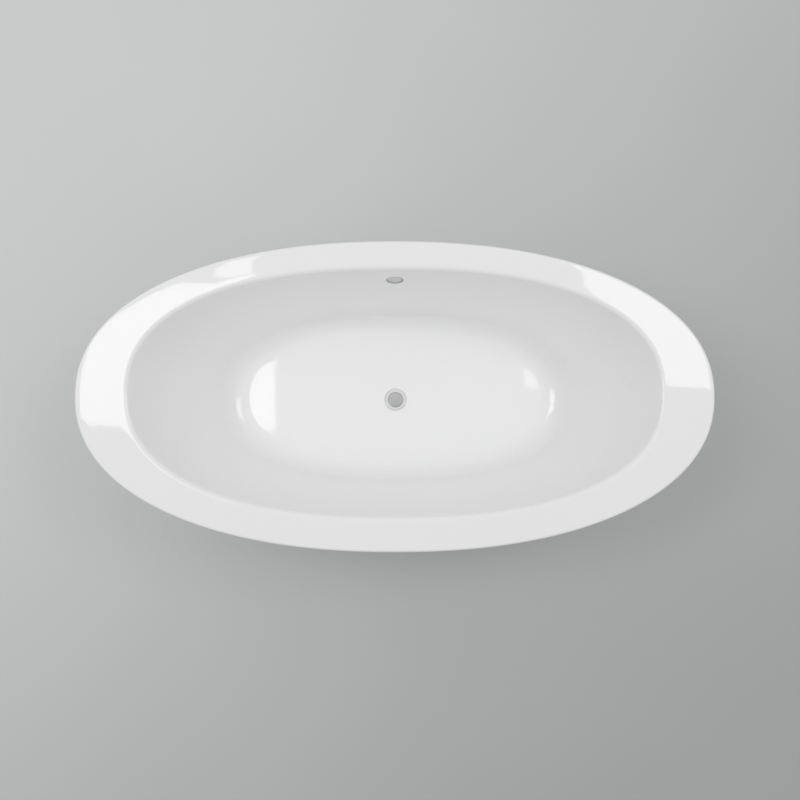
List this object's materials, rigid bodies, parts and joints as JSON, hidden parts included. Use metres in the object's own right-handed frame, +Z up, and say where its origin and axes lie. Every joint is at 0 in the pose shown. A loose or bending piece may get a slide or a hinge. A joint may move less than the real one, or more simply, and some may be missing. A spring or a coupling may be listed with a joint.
{
  "type": "freestanding bathtub",
  "caption": "Oval freestanding bathtub with a flat deck, sloping sides, a pop-up waste in the floor, an overflow on one long side and levelling feet.",
  "frame": {"origin": "centre of the tub's plan, on the floor", "axes": "+X along the length, +Y towards the overflow side, +Z up"},
  "size_m": [1.8, 0.876, 0.6],
  "materials": {
    "white_acrylic": "polished white acrylic",
    "white_plastic": "smooth white",
    "grey_plastic": "moulded grey",
    "satin_metal": "satin plated",
    "zinc": "bright zinc plated",
    "galvanised_steel": "galvanised",
    "rubber": "matt black",
    "plywood": "sealed plywood"
  },
  "bodies": {
    "tub": {"basin": "white_acrylic", "outer_skirt": "white_acrylic", "skirt_base_ring": "plywood", "base_board": "plywood", "long_rail_front": "galvanised_steel", "long_rail_back": "galvanised_steel", "cross_rail_left": "galvanised_steel", "cross_rail_right": "galvanised_steel", "waste_flange": "white_plastic", "waste_spider": "white_plastic", "overflow_pipe": "white_plastic", "overflow_cover": "satin_metal", "flange_seal": "rubber", "lower_gasket": "rubber", "overflow_gasket": "rubber", "overflow_insert": "grey_plastic", "back_nut": "grey_plastic", "waste_body": "grey_plastic", "outlet_nut": "grey_plastic", "tailpiece": "grey_plastic", "overflow_body": "grey_plastic", "overflow_pipe_nut": "grey_plastic", "branch_nut": "grey_plastic", "foot_lock_nut_fl": "zinc", "foot_weld_nut_fl": "zinc", "bracket_screw_fl": "zinc", "skirt_bracket_fl": "galvanised_steel", "foot_lock_nut_fr": "zinc", "foot_weld_nut_fr": "zinc", "bracket_screw_fr": "zinc", "skirt_bracket_fr": "galvanised_steel", "foot_lock_nut_bl": "zinc", "foot_weld_nut_bl": "zinc", "bracket_screw_bl": "zinc", "skirt_bracket_bl": "galvanised_steel", "foot_lock_nut_br": "zinc", "foot_weld_nut_br": "zinc", "bracket_screw_br": "zinc", "skirt_bracket_br": "galvanised_steel"},
    "plug": {"plug_cap": "satin_metal", "plug_seal": "rubber", "plug_stem": "zinc"},
    "foot_fl": {"foot_pad_fl": "rubber"},
    "rod_fl": {"foot_rod_fl": "zinc"},
    "foot_fr": {"foot_pad_fr": "rubber"},
    "rod_fr": {"foot_rod_fr": "zinc"},
    "foot_bl": {"foot_pad_bl": "rubber"},
    "rod_bl": {"foot_rod_bl": "zinc"},
    "foot_br": {"foot_pad_br": "rubber"},
    "rod_br": {"foot_rod_br": "zinc"}
  },
  "joints": [
    {"name": "plug_slide", "type": "slide", "parent": "tub", "child": "plug", "axis": [0, 0, 1], "range_m": [0, 0.01]},
    {"name": "foot_slide_fl", "type": "slide", "parent": "tub", "child": "foot_fl", "axis": [0, 0, -1], "range_m": [0, 0.02]},
    {"name": "rod_spin_fl", "type": "hinge", "parent": "foot_fl", "child": "rod_fl", "pos_m": [-0.4, -0.155, 0], "axis": [0, 0, -1], "range_deg": [0, 4115]},
    {"name": "foot_slide_fr", "type": "slide", "parent": "tub", "child": "foot_fr", "axis": [0, 0, -1], "range_m": [0, 0.02]},
    {"name": "rod_spin_fr", "type": "hinge", "parent": "foot_fr", "child": "rod_fr", "pos_m": [0.4, -0.155, 0], "axis": [0, 0, -1], "range_deg": [0, 4115]},
    {"name": "foot_slide_bl", "type": "slide", "parent": "tub", "child": "foot_bl", "axis": [0, 0, -1], "range_m": [0, 0.02]},
    {"name": "rod_spin_bl", "type": "hinge", "parent": "foot_bl", "child": "rod_bl", "pos_m": [-0.4, 0.155, 0], "axis": [0, 0, -1], "range_deg": [0, 4115]},
    {"name": "foot_slide_br", "type": "slide", "parent": "tub", "child": "foot_br", "axis": [0, 0, -1], "range_m": [0, 0.02]},
    {"name": "rod_spin_br", "type": "hinge", "parent": "foot_br", "child": "rod_br", "pos_m": [0.4, 0.155, 0], "axis": [0, 0, -1], "range_deg": [0, 4115]}
  ],
  "couplings": [
    {"joint": "rod_spin_fl", "follows": "foot_slide_fl", "rad_per_m": 3590.4},
    {"joint": "rod_spin_fr", "follows": "foot_slide_fr", "rad_per_m": 3590.4},
    {"joint": "rod_spin_bl", "follows": "foot_slide_bl", "rad_per_m": 3590.4},
    {"joint": "rod_spin_br", "follows": "foot_slide_br", "rad_per_m": 3590.4}
  ]
}
